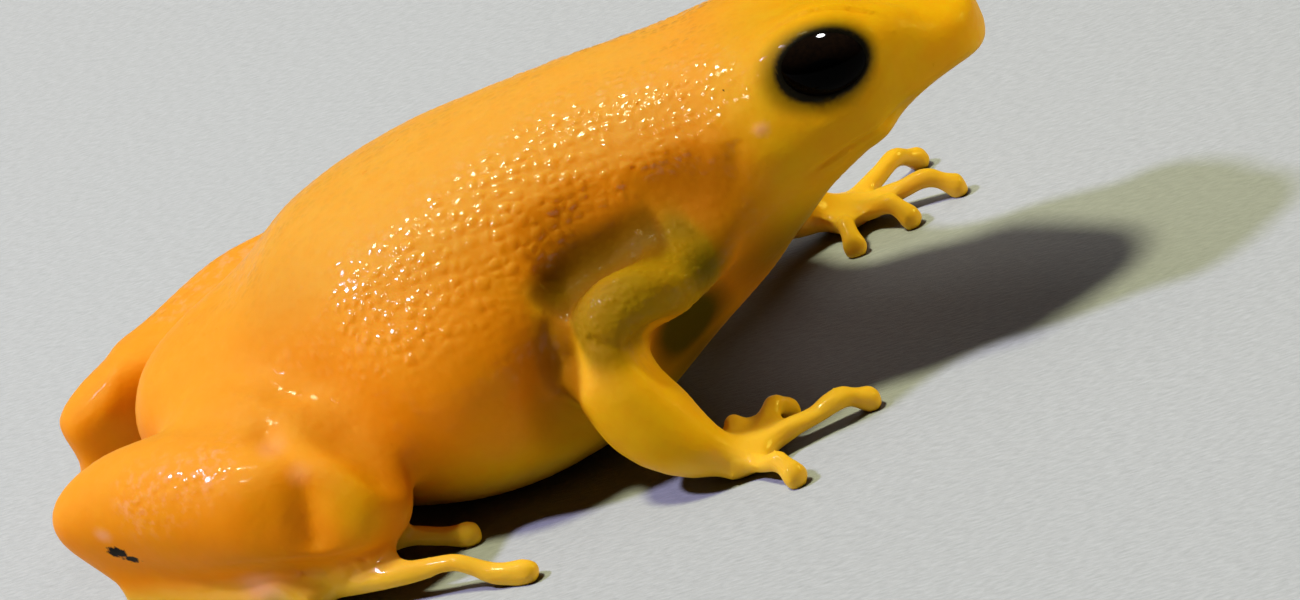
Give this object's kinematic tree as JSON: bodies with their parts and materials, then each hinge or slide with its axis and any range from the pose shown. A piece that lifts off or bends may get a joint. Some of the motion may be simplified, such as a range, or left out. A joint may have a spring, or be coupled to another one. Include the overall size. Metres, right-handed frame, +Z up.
{
  "type": "golden mantella frog model",
  "caption": "Life-size golden mantella resting on its belly, with head raised, arms set forward and hind legs folded alongside the body.",
  "frame": {"origin": "on the floor, under the middle of the whole frog's box", "axes": "+X forward towards the snout, +Y to the frog's left, +Z up"},
  "size_m": [0.0286, 0.0204, 0.0103],
  "materials": {
    "gold_skin": "moist golden orange skin, finely grained on the back",
    "yellow_skin": "moist yellow skin of the lower limbs",
    "eye_black": "wet, glossy and fully black"
  },
  "bodies": {
    "root": {"head": "gold_skin", "torso": "gold_skin", "eye_left": "eye_black", "eye_right": "eye_black", "upper_arm_left": "gold_skin", "upper_arm_right": "gold_skin", "forearm_left": "yellow_skin", "forearm_right": "yellow_skin", "hand_left": "yellow_skin", "hand_right": "yellow_skin", "thigh_left": "gold_skin", "thigh_right": "gold_skin", "shank_left": "gold_skin", "shank_right": "gold_skin", "foot_left": "yellow_skin", "foot_right": "yellow_skin"}
  },
  "joints": []
}
